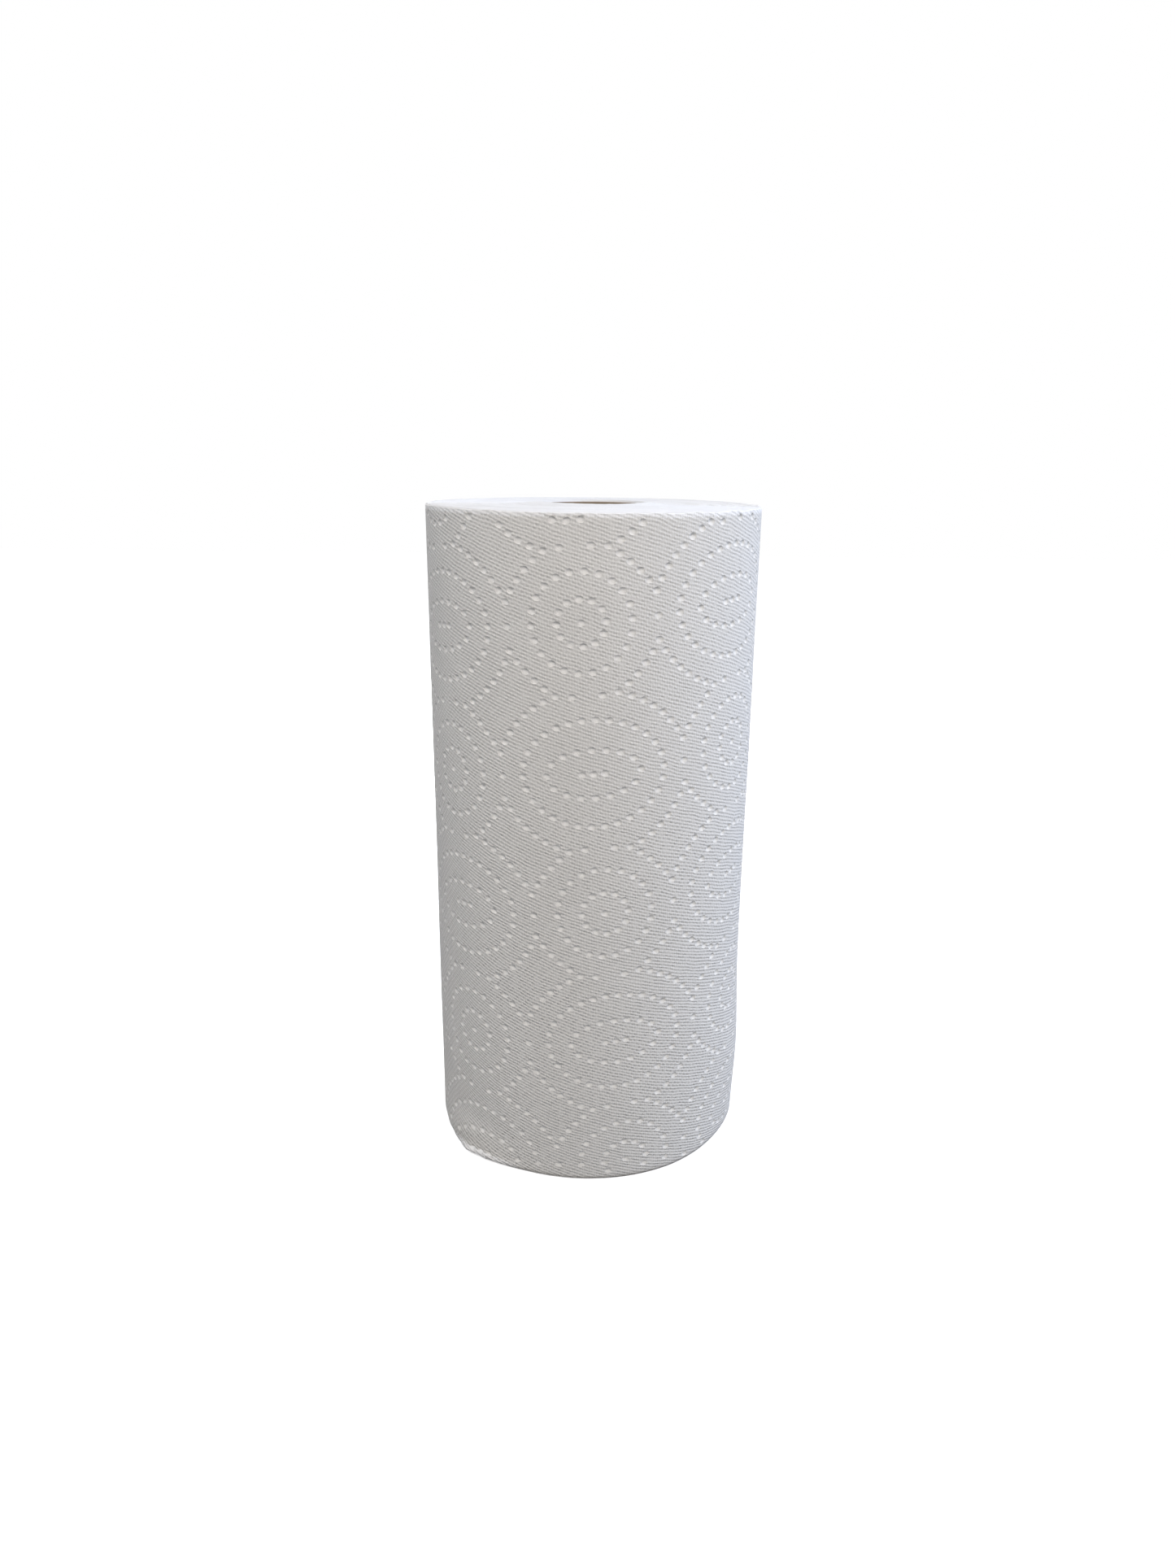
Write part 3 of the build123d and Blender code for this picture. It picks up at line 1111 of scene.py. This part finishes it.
def makeCore(material):
    height = winding["height"] - core["recess"]
    bm = bmesh.new()
    seamLayer = slantStrips(bm, math.ceil(height / core["climb"]) + 1)
    for level, side in ((core["stand"], -1), (height, 1)):
        cutAcross(bm, (0, level, 0), (0, side, 0), clear=True)
    inner = winding["coreRadius"] - core["wall"]
    size, pace = core["uneven"]
    for vert in bm.verts:
        turned, level = vert.co.x, vert.co.y
        radius = inner + core["seam"] * vert[seamLayer]
        radius += size * noise.noise(Vector((math.cos(turned), math.sin(turned), level * pace)))
        vert.co = Vector((radius * math.cos(turned), radius * math.sin(turned), level))
    bmesh.ops.remove_doubles(bm, verts=bm.verts, dist=core["merge"])
    faceAxis(bm, False)
    thickenTube(bm)
    finishPiece(bm, "wound_core", ["core_tube"], material)


# floor, light and background
studio = dict(
    floorSize=6.0,
    floorSeen=(0.9, 0.9, 0.9, 1),  # as the camera sees it
    floorUnseen=(0.38, 0.38, 0.38, 1),  # for the light that it gives back to the roll
    floorGlow=(0.62, 1.0),  # near the roll, where its shadow shows, and far off
    floorReach=(0.2, 0.6),
    backdrop=(1, 1, 1, 1),
    sky=(0.12, 0.12, 0.12, 1),
    lamps=[  # name, place, size, power and colour
        ("ceiling", (0.06, -0.8, 1.1), 0.5, 9.4, (1.0, 0.955, 0.91)),
        ("window", (0.85, 0.12, 0.75), 1.0, 9.2, (0.73, 0.82, 1.0)),
        ("room", (-0.85, 0.05, 0.75), 0.5, 2.1, (0.92, 0.95, 1.0)),
        ("back", (-0.25, 1.0, 0.42), 0.5, 6.2, (1.0, 0.98, 0.95)),
    ],
)


def cameraMix(tree, seen, unseen, output):
    # one shader for what the camera or a mirror sees, and another for the light that it gives
    path = tree.nodes.new("ShaderNodeLightPath")
    shown = addMath(tree, "MAXIMUM", path.outputs["Is Camera Ray"], path.outputs["Is Glossy Ray"])
    shown = addMath(tree, "MAXIMUM", shown, path.outputs["Is Transmission Ray"])
    mix = tree.nodes.new("ShaderNodeMixShader")
    tree.links.new(shown, mix.inputs[0])
    tree.links.new(unseen, mix.inputs[1])
    tree.links.new(seen, mix.inputs[2])
    tree.links.new(mix.outputs[0], output)


def whiteFloor():
    material, tree, shader = newMaterial("white_floor")
    tree.nodes.remove(shader)
    plain = tree.nodes.new("ShaderNodeBsdfDiffuse")
    plain.inputs["Color"].default_value = studio["floorUnseen"]
    bright = tree.nodes.new("ShaderNodeBsdfDiffuse")
    bright.inputs["Color"].default_value = studio["floorSeen"]
    away = addVector(tree, "LENGTH", tree.nodes.new("ShaderNodeTexCoord").outputs["Object"])["Value"]
    glow = tree.nodes.new("ShaderNodeEmission")
    strength = addRange(tree, away, *studio["floorReach"], *studio["floorGlow"])
    tree.links.new(strength, glow.inputs["Strength"])
    both = tree.nodes.new("ShaderNodeAddShader")
    tree.links.new(bright.outputs[0], both.inputs[0])
    tree.links.new(glow.outputs[0], both.inputs[1])
    output = tree.nodes["Material Output"].inputs["Surface"]
    cameraMix(tree, both.outputs[0], plain.outputs[0], output)
    return material


def makeFloor():
    bm = bmesh.new()
    bmesh.ops.create_grid(bm, x_segments=1, y_segments=1, size=studio["floorSize"] / 2)
    floor = addMesh(bm, "floor", whiteFloor())


def makeLamps():
    for name, place, size, power, colour in studio["lamps"]:
        lamp = addObject(name, bpy.data.lights.new(name, "AREA"))
        lamp.data.shape = "DISK"
        lamp.data.size = size
        lamp.data.energy = power
        lamp.data.color = colour
        aim = Vector((0, 0, winding["height"] / 2)) - Vector(place)
        lamp.matrix_world = Matrix.Translation(place) @ aim.to_track_quat("-Z", "Y").to_matrix().to_4x4()


def makeBackdrop():
    world = bpy.data.worlds.new("studio")
    bpy.context.scene.world = world
    world.use_nodes = True
    tree = world.node_tree
    seen = tree.nodes.new("ShaderNodeBackground")
    seen.inputs["Color"].default_value = studio["backdrop"]
    unseen = tree.nodes["Background"]
    unseen.inputs["Color"].default_value = studio["sky"]
    cameraMix(tree, seen.outputs[0], unseen.outputs[0], tree.nodes["World Output"].inputs["Surface"])


makeCamera()
print("camera set")
makeFloor()
makeLamps()
makeBackdrop()
print("floor, lamps and backdrop set")
edges = edgePaper()
makeWrap(webPaper())
makeEnd("top_turns", True, edges)
makeEnd("base_turns", False, edges)
makeCore(chipboard())
print("roll built")

scene = bpy.context.scene
scene.view_settings.view_transform = "Standard"
